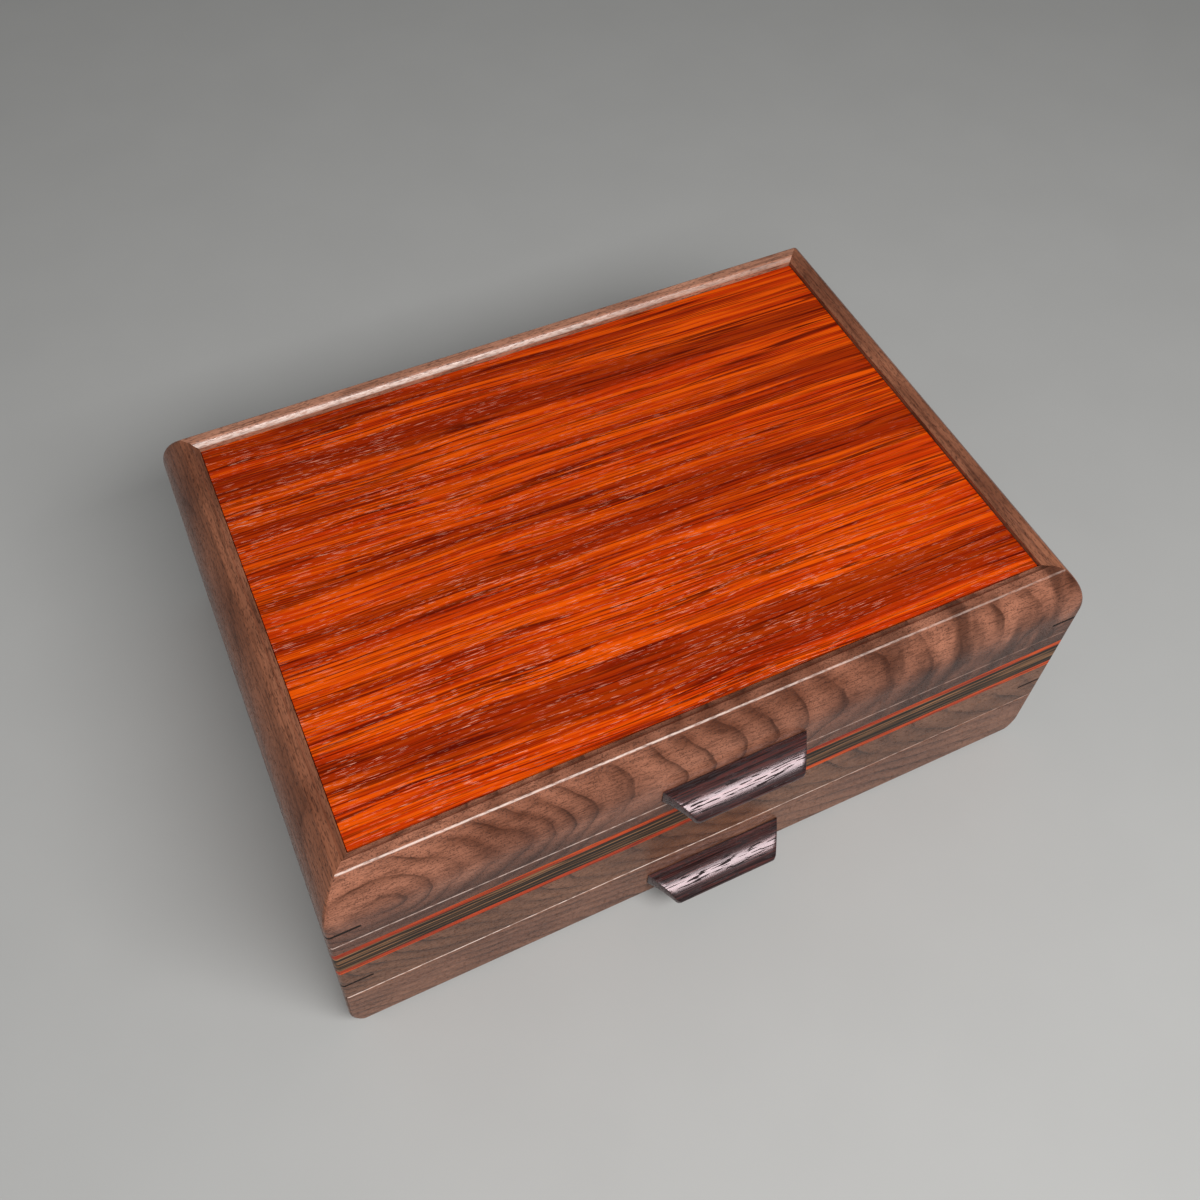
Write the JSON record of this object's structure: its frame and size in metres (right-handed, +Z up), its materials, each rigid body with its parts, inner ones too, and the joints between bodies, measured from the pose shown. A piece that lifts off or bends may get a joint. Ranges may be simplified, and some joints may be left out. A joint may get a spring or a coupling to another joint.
{
  "type": "keepsake box",
  "caption": "Hinged wooden keepsake box with a framed, coved lid, inlaid band round the mitred case, lined tray, full-width drawer beneath and a dark lip pull on lid and drawer.",
  "frame": {"origin": "centre of the case's footprint, on the underside of the base board that rests on the table", "axes": "+X to the right along the width as seen from the front, +Y from the pulls towards the hinges, +Z up"},
  "size_m": [0.3302, 0.2524, 0.1284],
  "materials": {
    "walnut": "satin oil",
    "padauk": "satin oil",
    "panel_wood": "satin oil",
    "streaked_wood": "satin oil",
    "dark_wood": "satin oil",
    "key_wood": "satin oil",
    "drawer_wood": "satin",
    "panel_sheet": "satin",
    "suede_lining": "suede nap",
    "brass": "satin"
  },
  "bodies": {
    "case": {"front_lower_board": "walnut", "front_lower_line": "padauk", "front_core": "streaked_wood", "front_upper_line": "padauk", "front_upper_strip": "walnut", "back_lower_board": "walnut", "back_lower_line": "padauk", "back_core": "streaked_wood", "back_upper_line": "padauk", "back_upper_strip": "walnut", "left_lower_board": "walnut", "left_lower_line": "padauk", "left_core": "streaked_wood", "left_upper_line": "padauk", "left_upper_strip": "walnut", "right_lower_board": "walnut", "right_lower_line": "padauk", "right_core": "streaked_wood", "right_upper_line": "padauk", "right_upper_strip": "walnut", "case_corner_keys": "key_wood", "tray_floor": "panel_sheet", "tray_lining": "suede_lining", "base_board": "panel_sheet", "drawer_stop": "drawer_wood", "left_hinge_case_leaf": "brass", "right_hinge_case_leaf": "brass", "left_hinge_pin": "brass", "right_hinge_pin": "brass"},
    "lid": {"lid_front_rail": "walnut", "lid_back_rail": "walnut", "lid_left_rail": "walnut", "lid_right_rail": "walnut", "lid_corner_keys": "key_wood", "lid_panel": "panel_wood", "lid_pull": "dark_wood", "left_hinge_lid_leaf": "brass", "right_hinge_lid_leaf": "brass"},
    "drawer": {"drawer_front": "walnut", "drawer_left_side": "drawer_wood", "drawer_right_side": "drawer_wood", "drawer_back": "drawer_wood", "drawer_bottom": "panel_sheet", "drawer_lining": "suede_lining", "drawer_pull": "dark_wood"}
  },
  "joints": [
    {"name": "lid_hinge", "type": "hinge", "parent": "case", "child": "lid", "pos_m": [0, 0.1178, 0.09043], "axis": [-1, 0, 0], "range_deg": [0, 95]},
    {"name": "drawer_slide", "type": "slide", "parent": "case", "child": "drawer", "axis": [0, -1, 0], "range_m": [0, 0.15]}
  ]
}
